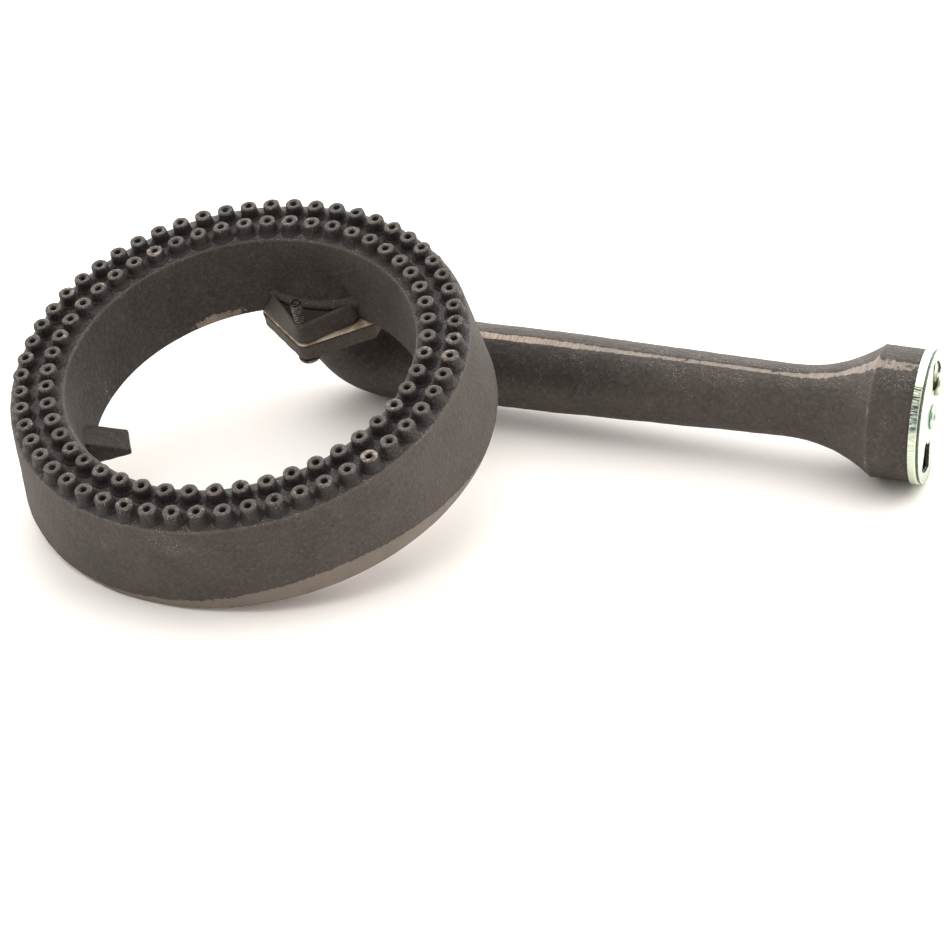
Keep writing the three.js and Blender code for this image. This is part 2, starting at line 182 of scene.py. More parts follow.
class Shade:
    """A shader socket. Its sums and products add Math nodes, and node() adds any other kind."""

    def __init__(self, tree, socket=None):
        self.tree, self.socket = tree, socket

    def feed(self, node, inputs):
        """Gives a node's sockets their values or links."""
        for key, value in dict(inputs).items():
            if isinstance(value, Shade):
                self.tree.links.new(value.socket, node.inputs[key])
            else:
                node.inputs[key].default_value = value

    def node(self, kind, settings=(), inputs=(), output=0):
        """Adds that kind of node, gives it its settings, and then feeds its sockets."""
        new = self.tree.nodes.new(kind)
        for setting, value in dict(settings).items():
            setattr(new, setting, value)
        self.feed(new, inputs)
        return Shade(self.tree, new.outputs[output])

    def math(self, operation, *values):
        return self.node("ShaderNodeMath", {"operation": operation}, enumerate(values))

    def __add__(self, other):
        return self.math("ADD", self, other)

    def __sub__(self, other):
        return self.math("SUBTRACT", self, other)

    def __rsub__(self, other):
        return self.math("SUBTRACT", other, self)

    def __mul__(self, other):
        return self.math("MULTIPLY", self, other)

    __radd__, __rmul__ = __add__, __mul__

    def noise(self, size, detail=2.0, stretch=None):
        """Noise whose lumps are about that size in metres, and longer along an axis whose stretch
        is under 1."""
        where = self.node("ShaderNodeTexCoord", output="Object")
        if stretch is not None:
            where = where.node("ShaderNodeMapping", (), {"Vector": where, "Scale": stretch})
        inputs = {"Vector": where, "Scale": 1 / size, "Detail": detail}
        return where.node("ShaderNodeTexNoise", (), inputs)

    def mark(self, name):
        """The number that each point of the mesh holds under that name."""
        return self.node("ShaderNodeAttribute", {"attribute_name": name}, output="Fac")

    def step(self, low, high):
        """0 below low, 1 above high, smooth between."""
        return self.node("ShaderNodeMapRange", {"interpolation_type": "SMOOTHSTEP"},
                         {"Value": self, "From Min": low, "From Max": high})

    def blend(self, low, high):
        """This share of the way from one colour to another, each a socket or three numbers."""
        low, high = (tone if isinstance(tone, Shade) else (*tone, 1) for tone in (low, high))
        return self.node("ShaderNodeMix", {"data_type": "RGBA"}, {0: self, 6: low, 7: high}, 2)

    def tint(self, other, share):
        """This colour turned into the other one by that share."""
        return share.blend(self, other)

    def bump(self, strength, distance):
        """The normals of a surface with this relief, that many metres deep."""
        inputs = {"Strength": strength, "Distance": distance, "Height": self}
        return self.node("ShaderNodeBump", (), inputs)


def finish(name, build):
    """A material whose principled shader gets the values and links that build returns."""
    material = bpy.data.materials.new(name)
    material.use_nodes = True
    shade = Shade(material.node_tree)
    shade.feed(material.node_tree.nodes["Principled BSDF"], build(shade))
    return material


# Colours of the iron, as linear light
skin_dark = (0.025, 0.0205, 0.018)
skin_light = (0.088, 0.072, 0.062)
skin_dust = (0.130, 0.108, 0.093)
ground_iron = (0.33, 0.262, 0.208)
ground_iron_dark = tuple(0.5 * part for part in ground_iron)
worn_iron = (0.158, 0.138, 0.120)
# The colour of painted glints
painted_glint_iron = (0.36, 0.33, 0.30)
black_paint = (0.016, 0.013, 0.014)


def cast_iron(shade):
    """Sand-cast skin: dark, with a lighter mottle and tiny painted glints. Of its marks, tone
    lightens or darkens it, and in places carries painted shade and painted highlights; paint makes
    it black and shiny, and the glint mark adds painted glints, bright specks in the colour. Where
    bare, made ragged by noise, nears a half there is ground metal, scored across by drawn and
    made darker by dulled."""
    grain = shade.noise(0.0007, 3.0)
    pits = shade.noise(0.0022, 3.0)
    clouds = shade.noise(0.020, 3.0)
    paint = shade.mark("paint")
    bare = (shade.mark("bare") + (pits - 0.5) * 0.9 + (clouds - 0.5) * 0.5).step(0.42, 0.58)
    light = (grain * 0.6 + pits * 0.5 + clouds * 0.4 + shade.mark("tone") - 0.22).step(0.15, 0.95)
    patches = (shade.noise(0.012, 1.0) + shade.mark("spark")).step(0.55, 0.95)
    glints = shade.noise(0.00045, 0.0).step(0.66, 0.80) * patches
    skin = light.blend(skin_dark, skin_light)
    skin = skin.tint(skin_dust, (grain * pits).step(0.30, 0.48) * 0.5)
    skin = skin.tint(black_paint, paint * 0.8)
    scores = (shade.noise(0.0010, 2.0, stretch=(1, 0.12, 0.12)) - 0.5) * shade.mark("drawn")
    metal = (grain * 0.8 + scores * 1.5 + clouds * 0.6 - 0.15).step(0.30, 0.75)
    metal = metal.blend(ground_iron_dark, ground_iron)
    metal = metal.tint(worn_iron, shade.mark("dulled"))
    relief = (1 - bare * 0.7) * (grain * 0.6 + pits * 0.9)
    return {
        "Base Color": skin.tint(painted_glint_iron, glints).tint(metal, bare),
        "Roughness": 0.72 - bare * 0.2 - glints * 0.35 - paint * (0.20 + pits * 0.25),
        "Metallic": 0.15 + bare * 0.35,
        "Specular IOR Level": 0.42,
        "Normal": relief.bump(0.85, 0.0011),
    }


iron = finish("cast_iron_skin", cast_iron)

section, section_normal = wrapped([
    (bore_foot_radius + foot_edge_round, foot_edge_round, foot_edge_round),
    (foot_radius - foot_edge_round, foot_edge_round, foot_edge_round),
    (shoulder_radius - top_edge_round, ring_height - top_edge_round, top_edge_round),
    (bore_top_radius + top_edge_round, ring_height - top_edge_round, top_edge_round),
], profile_step)
ring = lathe(section, ring_steps)
ring_normal = lathe(section_normal, ring_steps)
outward, upward = section_normal.T[:, :, None]
dent = cast_unevenness(ring, ring_waves, 1) - 1
dent = dent * (1 - smooth(-upward, 0.5, 0.9))
ring = ring + ring_normal * (dent * ring_unevenness)[..., None]

# Wear of the ring, by height and by azimuth in degrees from the tube's direction. The grinder has
# bared a band low on the outer wall and two patches of the bore wall. A thin line along the top
# edges is bare metal with a painted highlight, and painted glints fall on a patch of the outer
# wall, along those edges and over the top face.
ground_band = ((0.0105, 312, 62), (0.0030, 262, 45))  # height, azimuth, reach
# Share, azimuth, reach, height, and the two ends of its fade
bore_patches = ((0.9, 126, 20, 0.0065, -0.003, 0.004), (0.42, 178, 5, 0.022, 0, 0.01))
edge_line_width = 0.0012
spark_azimuth, spark_reach = 275, 9
spark_height, spark_width = 0.040, 0.007

azimuth = full_turn(ring_steps)
height = section[:, 1:]
outer_wall = smooth(outward, 0.6, 0.9)
bore_wall = smooth(-outward, 0.6, 0.9)
ground_foot = smooth(-upward, 0.8, 0.95)
painted_top = smooth(upward, 0.75, 0.97)
top_edges = outer_wall + bore_wall + smooth(outward * outward * upward, 0.1, 0.3)
# The top edges: some bare metal, lightened as a painted highlight
edge_wear_and_highlight = near(height, ring_height, edge_line_width) * top_edges
ground_height = sum(rise * around(azimuth, middle, reach) for rise, middle, reach in ground_band)
ground_share = 0.72 + 0.45 * smooth((np.degrees(azimuth) - 270) % 360, 12, 32)
bare = outer_wall * ground_share * smooth(ground_height - height, -0.0010, 0.0022)
for share, middle, reach, level, low, high in bore_patches:
    patch = around(azimuth, middle, reach) * smooth(level - height, low, high)
    bare = bare + bore_wall * share * patch
bare = bare + ground_foot * 0.75 + 0.18 * edge_wear_and_highlight
tone = 0.10 * outer_wall - 0.04 * smooth(upward, 0.8, 0.95) + 0.35 * edge_wear_and_highlight
# The outer wall is also lighter round 345 degrees, towards the tube
tone = tone + outer_wall * 0.12 * around(azimuth, 345, 50)
# Painted glints on a patch of the outer wall, along the top edges and over the top face
spark_patch = around(azimuth, spark_azimuth, spark_reach) * near(height, spark_height, spark_width)
spark = edge_wear_and_highlight * 0.35 + outer_wall * (0.55 * spark_patch - 0.04) + 0.3 * painted_top
made("ring_casting", ring, grid_faces(len(section), ring_steps, closed=True), iron, "burner",
     "cast_iron", "burner_ring", bare=bare, tone=tone, spark=spark, dulled=0.7 * outer_wall,
     paint=0.65 * painted_top)

# The port bosses: two rows of short round bosses, cast with the ring, then faced and drilled for
# the flame. The outer row has 56 and the inner row 49, at the same pitch.
port_pitch = 0.0127
outer_row = shoulder_radius - 0.00745
inner_row = bore_top_radius + 0.0079
boss_steps = 24
lobe_sizes = ((2, 0.018), (3, 0.016), (5, 0.012), (7, 0.008))
port_shift = 0.00012
boss_rise = 0.00012
boss_lean = 0.025
boss_wave = 0.0032
boss_unevenness = 0.00009

# Radius and height over the top face, up the fillet and the side, over the face, into the port
boss_profile = np.array([
    (0.0064, -0.0006), (0.0063, 0.0000), (0.0056, 0.0004), (0.0051, 0.0010), (0.0048, 0.0020),
    (0.0046, 0.0040), (0.00447, 0.0057), (0.00430, 0.0064), (0.00395, 0.0067), (0.0030, 0.00672),
    (0.0022, 0.00668), (0.0019, 0.0064), (0.00165, 0.0059), (0.0015, 0.0022)])
# Tone of each row: darker up the side, lighter over the face, and painted shade down in the port
tone_and_shade_shares = np.array([-.10, -.12, -.16, -.22, -.28, -.30, -.2, .10, .20, .22, .16, .0, -.5, -.9])
bare_shares = np.array([0, 0, 0, 0, 0, 0, .06, .34, .36, .30, .34, .20, 0, 0])
paint_shares = np.array([.9, .9, .8, .7, .6, .6, .5, .2, 0, 0, 0, 0, 0, 0])

places = []
for row_radius in (outer_row, inner_row):
    turn = full_turn(round(2 * math.pi * row_radius / port_pitch))
    places.append(np.stack([row_radius * np.cos(turn), row_radius * np.sin(turn)], -1))
places = np.concatenate(places)
place_x, place_y = places.T[:, :, None, None]

chance = np.random.default_rng(8)
each_boss = (len(places), 1, 1)
spin = full_turn(boss_steps)
boss_radius, boss_height = boss_profile.T[:, None, :, None]
rise = np.clip(boss_height / boss_profile[:, 1].max(), 0, 1)
outer_skin = smooth(boss_radius, 0.0018, 0.0035)


def lobed(lobes, size):
    """How far each boss is out of round: a sine wave of that many lobes round it, whose strength
    and turn come by chance."""
    strength = chance.normal(0, size, each_boss)
    return strength * np.sin(lobes * spin + chance.uniform(0, 6.3, each_boss))


wobble = sum(lobed(lobes, size) for lobes, size in lobe_sizes)
boss_radii = boss_radius * (1 + wobble * outer_skin * (0.4 + 0.6 * rise))
lean_x, lean_y = chance.normal(0, boss_lean, (2, *each_boss))
shift_x, shift_y = chance.normal(0, port_shift, (2, *each_boss)) * (1 - outer_skin)
boss_x = boss_radii * np.cos(spin) + shift_x
boss_y = boss_radii * np.sin(spin) + shift_y
taller = chance.normal(0, boss_rise, each_boss)
boss_z = boss_height + rise * (taller + lean_x * boss_x + lean_y * boss_y)
bosses = np.stack([place_x + boss_x, place_y + boss_y, ring_height + boss_z], -1)
bosses += (rolling(bosses, boss_wave, 9) * boss_unevenness)[..., None] * outer_skin[..., None]
boss_faces = []
for number in range(len(places)):
    first_point = number * len(boss_profile) * boss_steps
    boss_faces += grid_faces(len(boss_profile), boss_steps, start=first_point)
boss_bare = bare_shares[:, None] + chance.normal(0, 0.05, each_boss) * rise
boss_tone_and_shade = tone_and_shade_shares[:, None] + chance.normal(0, 0.06, each_boss) * rise
# The dark in the ports is painted shade, and the upper rows get painted glints
made("port_bosses", bosses, boss_faces, iron, "burner", "cast_iron", bare=boss_bare, tone=boss_tone_and_shade,
     paint=paint_shares[:, None], dulled=0.5, spark=0.35 * rise)

# The two lugs on the bore wall: sloping ribs, cast with the ring, that locate it over the grate.
lug_spread = math.radians(121)
lug_offset = 0.0028
lug_width = 0.0163
lug_reach = 0.02045
lug_tip_height = 0.0032
lug_wall_height = 0.0167
lug_round = 0.0011
lug_top_round = 0.0006
lug_root = 0.004
lug_top_root = 0.002
lug_tip_ease = 0.0002
lug_step = 0.0014
lug_wave = 0.006
lug_unevenness = 0.0002


def plate(outline, normal, profile):
    """A closed plate with one row for each (inset, height, shrink) of the profile: the outline
    moved in along its normals by the inset, then shrunk towards its middle."""
    middle = (outline.max(0) + outline.min(0)) / 2
    rows = []
    for inset, level, shrink in profile:
        flat = middle + (outline - inset * normal - middle) * shrink
        rows.append(np.concatenate([flat, np.full((len(flat), 1), level)], 1))
    return np.stack(rows)


def rounded_profile(bottom, top, round_by, side_rows, rings):
    """Rows (inset, height, shrink) of a plate with rounded edges, from the middle of its bottom,
    up its side, to the middle of its top."""
    bend = np.linspace(0, np.pi / 2, 5)
    low = [(round_by * (1 - math.sin(a)), bottom + round_by * (1 - math.cos(a)), 1) for a in bend]
    high = [(round_by * (1 - math.cos(a)), top - round_by * (1 - math.sin(a)), 1) for a in bend]
    levels = np.linspace(bottom + round_by, top - round_by, side_rows + 2)[1:-1]
    side = [(0, level, 1) for level in levels]
    under = [(round_by, bottom, ring) for ring in rings]
    return under + low + side + high + [(round_by, top, ring) for ring in reversed(rings)]


def turned(points, angle):
    """Points turned about z by that angle, counterclockwise."""
    x, y, z = np.moveaxis(points, -1, 0)
    return np.stack([x * math.cos(angle) - y * math.sin(angle),
                     x * math.sin(angle) + y * math.cos(angle), z], -1)


lug_tip = bore_foot_radius - lug_reach
lug_line, lug_normal = wrapped([
    (lug_tip + lug_round, lug_round, lug_round),
    (bore_foot_radius + lug_root, lug_round, lug_round),
    (bore_foot_radius + lug_top_root, lug_wall_height - lug_top_round, lug_top_round),
    (lug_tip + lug_round, lug_tip_height - lug_tip_ease, lug_round),
], lug_step)
lug_profile = rounded_profile(-lug_offset - lug_width, -lug_offset, lug_round, 12, (0.35, 0.7))
lug_rows = plate(lug_line, lug_normal, lug_profile)
for hand, name in ((1, "left_lug"), (-1, "right_lug")):
    lug = turned(lug_rows[..., [0, 2, 1]] * (1, hand, 1), math.pi / 2 + hand * lug_spread)
    lug = lug + (rolling(lug, lug_wave, 21) * lug_unevenness)[..., None]
    rows_upwards = lug if hand < 0 else lug[::-1]
    made(name, rows_upwards, grid_faces(len(lug), len(lug_line)), iron, "burner", "cast_iron",
         bare=0.1, tone=-0.02)

# The ear: a thick six-cornered pad that grows out of the ring's wall, with the round inlet boss
# above it. Its foot is faced for the gasket, and its two tips are tapped for the flange screws.
screw_offset = 0.0415
ear_foot_flare = 0.0006
ear_foot_inset = 0.0008
ear_steps = 200
flange_centre = np.array([0, flange_distance, 0])


def six_cornered(tip, half_width, corner, shoulder):
    """Circles that round the corners of ear, gasket and flange: a tip at either screw, and two
    corners on either side."""
    side = half_width - corner
    return np.array([(0, -screw_offset, tip), (side, -shoulder, corner), (side, shoulder, corner),
                     (0, screw_offset, tip), (-side, shoulder, corner), (-side, -shoulder, corner)])


def evenly(line, count):
    """A closed line's points, taken anew at even spacing along it."""
    closed = np.concatenate([line, line[:1]])
    along = np.concatenate([[0], np.cumsum(np.hypot(*np.diff(closed, axis=0).T))])
    at = np.arange(count) / count * along[-1]
    return np.stack([np.interp(at, along, closed[:, 0]), np.interp(at, along, closed[:, 1])], -1)


# The ear's foot follows the flange on the side away from the tube
ear_circles = six_cornered(tip=0.0044, half_width=0.024, corner=0.004, shoulder=0.023)
flange_circles = six_cornered(tip=0.006, half_width=0.0335, corner=0.003, shoulder=0.0225)
foot_circles = ear_circles + np.array([0, 0, ear_foot_flare])
foot_circles[4:] = flange_circles[4:] - np.array([0, 0, ear_foot_inset])

# Rows up the side, over the rim and down into the dished top: share of the way from the foot's
# outline to the ear's, inset, height, shrink, and share of the dish
ear_profile = (
    (0.00, 0.0006, 0.0000, 0.5, 0), (0.00, 0.0006, 0.0000, 1, 0), (0.00, 0.0000, 0.0004, 1, 0),
    (0.03, 0.0000, 0.0016, 1, 0), (0.12, 0.0000, 0.0030, 1, 0), (0.35, 0.0000, 0.0050, 1, 0),
    (0.60, 0.0000, 0.0075, 1, 0), (0.85, 0.0000, 0.0105, 1, 0), (0.95, 0.0000, 0.0120, 1, 0),
    (1.00, 0.0002, 0.0129, 1, 0), (1.00, 0.0008, 0.0132, 1, 0), (1.00, 0.0014, 0.0130, 1, 0),
    (1.00, 0.0018, 0.0124, 1, 0), (1.00, 0.0021, 0.0116, 1, 0.6), (1.00, 0.0026, 0.0109, 1, 1),
    (1.00, 0.0034, 0.0106, 1, 1), (1.00, 0.0036, 0.0106, 0.7, 1), (1.00, 0.0036, 0.0106, 0.35, 1))
ear_rows = []
for share, inset, level, shrink, _ in ear_profile:
    circles = foot_circles + share * (ear_circles - foot_circles) - inset * np.array([0, 0, 1])
    ear_line = evenly(wrapped(circles, 0.001)[0], ear_steps) * shrink
    ear_rows.append(np.concatenate([ear_line, np.full((ear_steps, 1), level)], 1))
ear = np.stack(ear_rows) + flange_centre
ear_rim = smooth(ear[..., 2], 0.0116, 0.0129)
ear_dish = np.array(ear_profile)[:, 4:]
ear_dent = rolling(ear, 0.012, 31) * 0.0005 + rolling(ear, 0.004, 32) * 0.0002
ear = ear + ear_dent[..., None] * np.array([0.6, 0.6, 1])
# The side away from the tube is lightened as a painted highlight, and the rim gets painted glints
far_side_highlight = smooth(-ear[..., 0], 0.001, 0.006) * (1 - ear_dish)
made("inlet_ear", ear, grid_faces(*ear.shape[:2]), iron, "burner", "cast_iron", bare=0.15 * ear_rim,
     tone=0.02 + 0.55 * ear_rim - 0.34 * ear_dish + 0.22 * far_side_highlight, spark=0.2 * ear_rim)

# The inlet boss is wider on the side of the bore
inlet_steps = 96
inlet_wave = 0.014
inlet_unevenness = 0.0005
fillet_level, fillet_width = 0.0136, 0.0009
inlet_profile = np.array([
    (0.0300, 0.0100), (0.0300, 0.0122), (0.0285, 0.0136), (0.0270, 0.0160), (0.0245, 0.0200),
    (0.0218, 0.0242), (0.0192, 0.0276), (0.0160, 0.0300), (0.0110, 0.0312), (0.0050, 0.0316)])
inlet = lathe(inlet_profile, inlet_steps)
inlet[..., 0] *= 0.78 + 0.58 * smooth(-np.sin(full_turn(inlet_steps)), -0.42, 0.10)
inlet = inlet + flange_centre
inlet = inlet + (rolling(inlet, inlet_wave, 41) * inlet_unevenness)[..., None]
# A painted highlight with painted glints along the fillet; the rest of the boss is darkened as
# painted shade
fillet_highlight = near(inlet_profile[:, 1:], fillet_level, fillet_width)
made("inlet_boss", inlet, grid_faces(*inlet.shape[:2]), iron, "burner", "cast_iron", bare=0.05,
     tone=fillet_highlight - 0.12, spark=0.5 * fillet_highlight)

# The gasket: a die-cut ring of cream fibre board, squeezed between the ear and the flange.
seat_gap = 0.0003
gasket_top = -seat_gap
gasket_thickness = 0.001
gasket_wave = 0.005
gasket_unevenness = 0.00015
board_cream = (0.74, 0.61, 0.47)
board_brown = (0.40, 0.29, 0.21)


def fibre_board(shade):
    """Pressed fibres: cream, rubbed brown in ragged patches."""
    fibres = shade.noise(0.0006, 4.0)
    rubbed = (fibres * 0.5 + shade.noise(0.007, 2.0)).step(0.66, 0.86)
    return {
        "Base Color": rubbed.blend(board_cream, board_brown),
        "Roughness": 0.9,
        "Normal": fibres.bump(0.6, 0.0004),
    }


flange_line, flange_normal = wrapped(flange_circles, profile_step)
# Inset, share of the thickness below the top, and shrink
gasket_edge = ((0.0012, 1.0, 0.6), (0.0009, 1.0, 1), (0.0005, 0.8, 1),
               (0.0004, 0.4, 1), (0.0007, 0.0, 1), (0.0012, 0.0, 0.6))
gasket_profile = [(inset, gasket_top - share * gasket_thickness, shrink)
                  for inset, share, shrink in gasket_edge]
gasket = plate(flange_line, flange_normal, gasket_profile) + flange_centre
gasket[..., :2] += (rolling(gasket, gasket_wave, 51) * gasket_unevenness)[..., None]
made("flange_gasket_board", gasket, grid_faces(*gasket.shape[:2]),
     finish("fibre_board", fibre_board), "burner", "gasket_board", "flange_gasket")

# The mixing tube: a flanged elbow, a tapering tube and a bell in one cored iron casting. The fins
# of the mould's parting line, along its top and its bottom, were ground off to a bare flat strip.
flange_top = gasket_top - gasket_thickness - seat_gap
flange_thickness = 0.0094
tube_wall = 0.0045
bend_radius = 0.031
elbow_radius = 0.0236
heel_rise = 0.0025
heel_length = 1.6 * bend_radius * math.pi / 2
tube_radius = 0.0225
even_from, even_to = 0.078, 0.125
throat_radius = 0.0195
throat_from, throat_to = 0.254, 0.258
flare_power = 2.1
neck_start = 0.3046
neck_radius = 0.035
tube_steps = 120
shell_stations = 226
bore_stations = 90
tube_waves = (0.030, 0.010, 0.0045)
tube_unevenness = 0.00022
strip_depth = 0.00022
crease_width, crease_depth = 0.0006, 0.00018

bend_length = bend_radius * math.pi / 2
drop_length = tube_drop - bend_radius + flange_top
path_length = drop_length + bend_length + neck_end - bend_radius
tube_turn = full_turn(tube_steps)


def tube_shell(stations, inset=0.0):
    """The tube's surface: circles square to its path, which drops from the flange, turns through a
    quarter circle and runs to the neck. Stations are lengths along the path; the radius narrows to
    the throat and opens in a power curve to the neck, and swells over the heel of the bend. Each
    point's x and radius come with it."""
    s = stations[:, None]
    bend = np.clip((s - drop_length) / bend_radius, 0, np.pi / 2)
    run = np.maximum(s - drop_length - bend_length, 0)
    x = bend_radius * (1 - np.cos(bend)) + run
    z = flange_top - np.minimum(s, drop_length) - bend_radius * np.sin(bend)
    size = np.interp(x, [bend_radius, even_from, even_to, throat_from, throat_to],
                     [elbow_radius, tube_radius, tube_radius, throat_radius, throat_radius])
    flare = np.clip((x - throat_to) / (neck_start - throat_to), 0, 1) ** flare_power
    size = size + (neck_radius - throat_radius) * flare
    heel_run = np.clip(s - drop_length, 0, heel_length)
    heel = heel_rise * np.sin(np.pi * heel_run / heel_length) ** 2
    reach = size - inset + heel / 2
    out, across = reach * np.cos(tube_turn) + heel / 2, reach * np.sin(tube_turn)
    points = np.stack([x - out * np.cos(bend), flange_distance + across,
                       z - out * np.sin(bend)], -1)
    return points, x + 0 * tube_turn, size


along_shell = np.linspace(0, path_length - 0.0008, shell_stations)
at_crease = path_length - (neck_end - neck_start) + np.array([-0.0012, -0.0005, 0, 0.0005, 0.0012])
stations = np.unique(np.concatenate([along_shell, at_crease]))
shell, shell_x, shell_size = tube_shell(stations)
lip = tube_shell(np.array([path_length - 0.0003]))[0]
lip_edge = tube_shell(np.array([path_length]), 0.0005)[0]
bore = tube_shell(np.linspace(path_length - 0.0002, 0.0006, bore_stations), tube_wall)[0]

# The ground strips, half as wide as this along the tube
strip_half = np.interp(shell_x, [0.06, 0.13, 0.19, 0.25, 0.285, 0.304, 0.33],
                       [0.0029, 0.0024, 0.0016, 0.0016, 0.0030, 0.0043, 0.0038])
strip_half = strip_half * (1 + 0.14 * rolling(shell, 0.03, 61))
off_strip = shell_size * np.abs(np.sin(tube_turn)) / strip_half
on_strip = smooth(1 - off_strip, -0.5, 0.5)
flat_cut = np.clip(strip_depth * (1 - off_strip ** 2), 0, None)
inward = shell.mean(1, keepdims=True) - shell
inward /= np.linalg.norm(inward, axis=-1, keepdims=True)
dent = cast_unevenness(shell, tube_waves, 62) * tube_unevenness * (1 - on_strip)
crease = near(shell_x, neck_start, crease_width) * crease_depth
shell = shell + inward * (flat_cut + dent - crease)[..., None]
tube = np.concatenate([shell, lip, lip_edge, bore])


def with_bore(marks, value=0.0):
    """The shell's marks, and one value all over the lip and the bore."""
    return np.concatenate([marks, np.full((len(tube) - len(shell), tube_steps), value)])


# Wear and painted light of the tube, by x and by degrees from its upper strip: painted shade
# below the strip on the ring's side, painted shade under the flange, a line of bare metal with a
# painted highlight in the crease of the neck, and painted glints below the strip
below_strip = np.abs(np.degrees(tube_turn) - 180) + 0 * shell_x
# The crease's line is bare metal with a painted highlight that is brightest over part of its round
crease_metal_and_highlight = near(shell_x, neck_start - 0.0004, 0.0009)
crease_share = 0.35 + 0.45 * around(tube_turn, 118, 50) + 0.25 * rolling(shell, 0.012, 65)
shell_bare = on_strip * (1 - 0.36 * smooth(shell_x, 0.07, 0.20)) + crease_metal_and_highlight * crease_share
# Painted shade in a band just below the upper strip, near the ring
shade_below_strip = smooth(below_strip, 5, 12) * smooth(85 - below_strip, 0, 40)
shade_below_strip = shade_below_strip * smooth(0.22 - shell_x, 0, 0.14) * (tube_turn > np.pi)
# Painted shade on the tube just under the flange
shade_under_flange = smooth(0.018 - stations[:, None], 0, 0.01)
on_neck = smooth(shell_x, neck_start - 0.001, neck_start + 0.001)
shell_tone = 0.10 - 0.5 * shade_under_flange - 0.44 * shade_below_strip - 0.07 * on_neck + 0.3 * crease_metal_and_highlight
# Painted glints in a band below the upper strip
spark_band = smooth(below_strip, 5, 9) * smooth(40 - below_strip, 0, 25) * smooth(shell_x, 0.1, 0.2)
made("tube_casting", tube, grid_faces(len(tube), tube_steps, closed=True), iron, "burner",
     "cast_iron", "mixing_tube", bare=with_bore(shell_bare), tone=with_bore(shell_tone, 0.25),
     spark=with_bore(0.05 + 0.25 * spark_band), drawn=1.0,
     dulled=with_bore(0.6 * smooth(shell_x, 0.06, 0.17)))

flange_round = 0.0009
flange_wave = 0.010
flange_unevenness = 0.00018
flange_bottom = flange_top - flange_thickness
flange_profile = rounded_profile(flange_bottom, flange_top, flange_round, 5, (0.3, 0.65))
flange = plate(flange_line, flange_normal, flange_profile) + flange_centre
flange = flange + (rolling(flange, flange_wave, 71) * flange_unevenness)[..., None]
made("tube_flange", flange, grid_faces(*flange.shape[:2]), iron, "burner", "cast_iron",
     bare=0.04, tone=0.2)

# The flange screws: black round-head machine screws, put in from below through flange, gasket
# and ear. Their threaded ends stand free above the ear.
screw_radius = 0.0031
screw_lengths = {"inner": 0.038, "outer": 0.026}
screw_turn = 0.9
thread_pitch = 0.00127
thread_depth = 0.00045
thread_steps = 40
thread_crest = 0.00295
tip_chamfer = 0.0008
tip_length = 0.0011
head_radius = 0.0063
head_height = 0.0044
head_rim_share = 0.3
slot_half = 0.0008
slot_depth = 0.0019
slot_slope = 0.00004
head_from = flange_bottom - seat_gap
oxide_black = (0.022, 0.020, 0.019)
oxide_brown = (0.085, 0.075, 0.068)
# Rubbed steel, which on the crests also stands for a painted highlight
rub_and_glint_steel = (0.42, 0.38, 0.36)


def screw_shank(length):
    """The threaded end below a screw's head, from its tip up to zero: radius = outer radius less
    the depth times a rounded saw wave of height over pitch less turn, and a chamfered tip."""
    level = np.linspace(-length, 0, round(length / thread_pitch * 12))[:, None]
    turn = full_turn(thread_steps)
    wave = np.abs(((level / thread_pitch - turn / (2 * np.pi)) % 1) * 2 - 1)
    chamfer = tip_chamfer * smooth(-length + tip_length - level, -0.0003, tip_length)
    radius = screw_radius - thread_depth * smooth(wave, 0.12, 0.9) - chamfer
    return np.stack([radius * np.cos(turn), radius * np.sin(turn), level + 0 * turn], -1)


def screw_head():
    """A domed head with a straight slot: closed loops of flat bottom and dome, one on each chord,
    with two chords at either wall of the slot; the dome's height follows an ellipse."""
    side = head_radius * np.sin(np.linspace(0.02, 1, 15) * np.pi / 2)
    walls = slot_half + np.array([-0.00012, -0.00003, 0.00003, 0.00012])
    columns = np.sort(np.concatenate([-side, side, walls, -walls, [0]]))
    columns = columns[np.abs(columns) < head_radius * 0.9995]
    half = np.sqrt(head_radius ** 2 - columns ** 2)[:, None]
    share = np.sin(np.linspace(-1, 1, 27) * np.pi / 2)
    x, y = columns[:, None] + 0 * share, half * share
    reach = np.clip(np.hypot(x, y) / head_radius, 0, 1)
    dome = head_height * (head_rim_share + (1 - head_rim_share) * np.sqrt(1 - reach ** 2))
    floor = head_height - slot_depth
    cut = 1 - smooth(np.abs(x), slot_half - slot_slope, slot_half + slot_slope)
    top = dome - np.clip(dome - floor, 0, None) * cut
    bottom = np.stack([x, y, 0 * x], -1)
    upper = np.stack([x, y, top], -1)[:, ::-1]
    return np.concatenate([bottom, upper], 1)


def black_oxide(shade):
    """Blackened steel, oily and worn, rubbed bright where drawn; on the thread's crests that
    brightness is also a painted highlight.
    """
    wear = shade.noise(0.0012, 3.0)
    oxide = wear.step(0.5, 0.75).blend(oxide_black, oxide_brown)
    return {
        "Base Color": oxide.tint(rub_and_glint_steel, shade.mark("drawn") * wear.step(0.3, 0.6)),
        "Metallic": 0.75,
        "Roughness": 0.22 + wear * 0.25,
        "Normal": wear.bump(0.35, 0.0003),
    }


